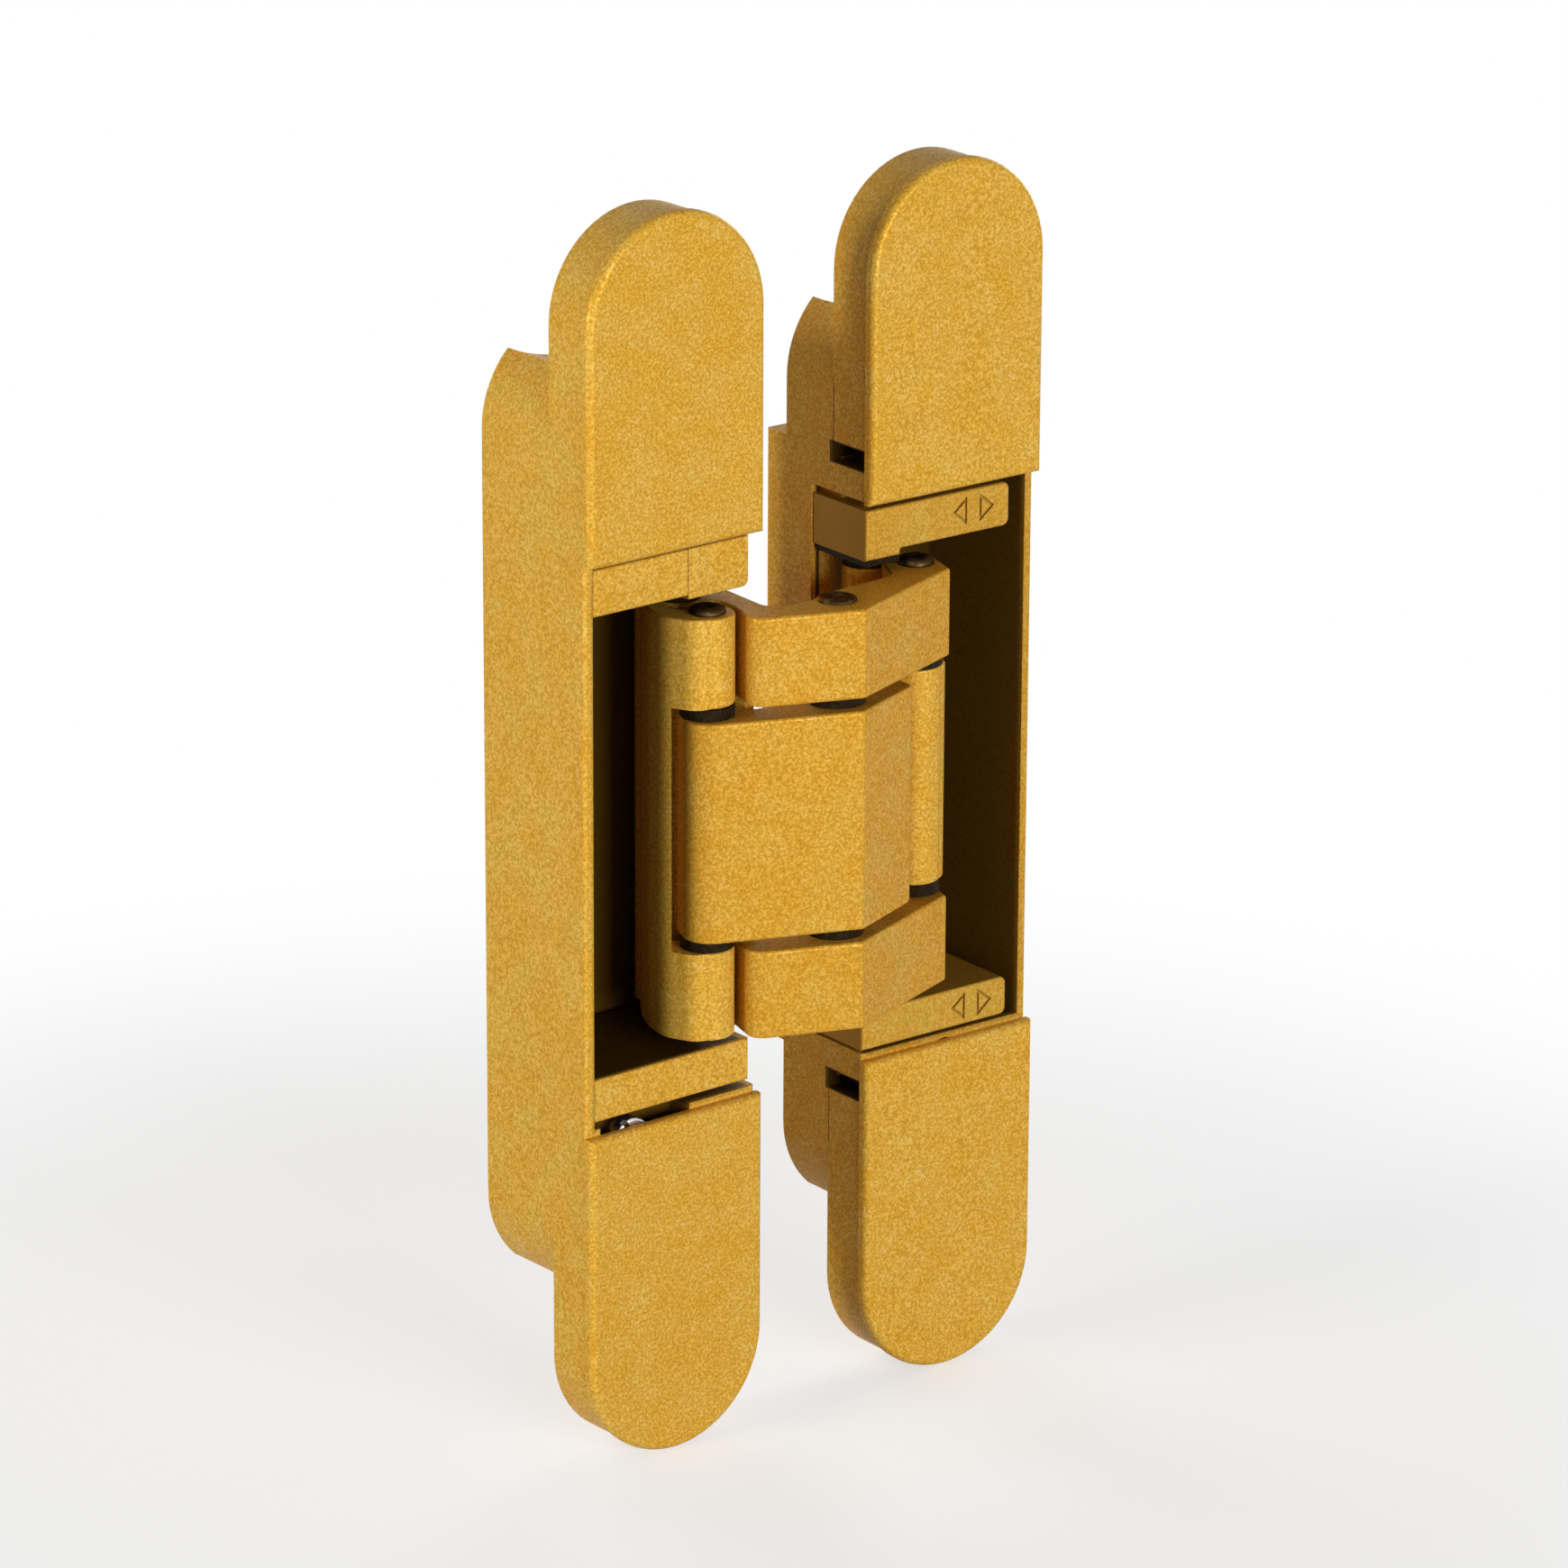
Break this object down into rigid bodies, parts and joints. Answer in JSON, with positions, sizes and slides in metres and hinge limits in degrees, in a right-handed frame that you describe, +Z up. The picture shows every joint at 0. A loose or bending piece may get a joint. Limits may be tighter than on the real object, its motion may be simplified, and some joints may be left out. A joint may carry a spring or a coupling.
{
  "type": "concealed door hinge",
  "caption": "Concealed door hinge with two round-ended housings joined by crossed folding arms and links, shown open, in a gold powder coat.",
  "frame": {"origin": "centre of the frame unit's four-hole screw pattern, in the plane of its flange's rear face", "axes": "+X from the frame unit towards the door unit; +Y into the door frame; +Z up along the hinge"},
  "size_m": [0.067, 0.0292, 0.15],
  "materials": {
    "gold_powder_coat": "gold metallic powder coat, fine grain",
    "black_plastic": "black, matt",
    "dark_steel": "dark oiled steel",
    "zinc_plate": "bright zinc plate"
  },
  "bodies": {
    "frame_unit": {"frame_arm_pin": "dark_steel", "frame_arm_spacer_bottom": "black_plastic", "frame_arm_spacer_top": "black_plastic", "frame_block_bottom": "gold_powder_coat", "frame_block_top": "gold_powder_coat", "frame_case": "gold_powder_coat", "frame_clamp_screw_bottom": "zinc_plate", "frame_clamp_screw_top": "zinc_plate", "frame_cover_bottom": "gold_powder_coat", "frame_cover_top": "gold_powder_coat", "frame_height_insert": "gold_powder_coat"},
    "fork": {"fork_arm": "gold_powder_coat", "centre_pin": "dark_steel", "centre_washer_top": "black_plastic", "centre_washer_bottom": "black_plastic"},
    "inner": {"inner_arm": "gold_powder_coat", "frame_knuckle_pin": "dark_steel", "frame_knuckle_washer_top": "black_plastic", "frame_knuckle_washer_bottom": "black_plastic"},
    "frame_side_link": {"frame_link": "gold_powder_coat", "frame_link_pin": "dark_steel"},
    "door_side_link": {"door_link": "gold_powder_coat", "door_knuckle_pin": "dark_steel", "door_knuckle_washer_top": "black_plastic", "door_knuckle_washer_bottom": "black_plastic", "door_link_pin": "dark_steel"},
    "door_unit": {"door_arm_pin": "dark_steel", "door_arm_spacer_bottom": "black_plastic", "door_arm_spacer_top": "black_plastic", "door_block_bottom": "gold_powder_coat", "door_block_top": "gold_powder_coat", "door_case": "gold_powder_coat", "door_clamp_screw_bottom": "zinc_plate", "door_clamp_screw_top": "zinc_plate", "door_cover_bottom": "gold_powder_coat", "door_cover_top": "gold_powder_coat"}
  },
  "joints": [
    {"name": "fork_swing", "type": "hinge", "parent": "frame_unit", "child": "fork", "pos_m": [0.00677, 0.00095, 0], "axis": [0, 0, -1], "range_deg": [-1.07, 98.04]},
    {"name": "inner_swing", "type": "hinge", "parent": "fork", "child": "inner", "pos_m": [0.0205, -0.01124, 0], "axis": [0, 0, 1], "range_deg": [-0.2, 18.03]},
    {"name": "door_swing", "type": "hinge", "parent": "inner", "child": "door_unit", "pos_m": [0.03464, 0.00048, 0], "axis": [0, 0, -1], "range_deg": [-1.08, 98.05]},
    {"name": "frame_link_swing", "type": "hinge", "parent": "inner", "child": "frame_side_link", "pos_m": [0.00577, -0.00576, 0], "axis": [0, 0, 1], "range_deg": [-0.18, 15.73]},
    {"name": "door_link_swing", "type": "hinge", "parent": "fork", "child": "door_side_link", "pos_m": [0.03705, -0.0058, 0], "axis": [0, 0, -1], "range_deg": [-0.19, 16.53]}
  ],
  "couplings": [
    {"joint": "inner_swing", "follows": "fork_swing", "ratio": 0.1838},
    {"joint": "door_swing", "follows": "fork_swing", "ratio": 1},
    {"joint": "frame_link_swing", "follows": "fork_swing", "ratio": 0.16034},
    {"joint": "door_link_swing", "follows": "fork_swing", "ratio": 0.1685}
  ]
}
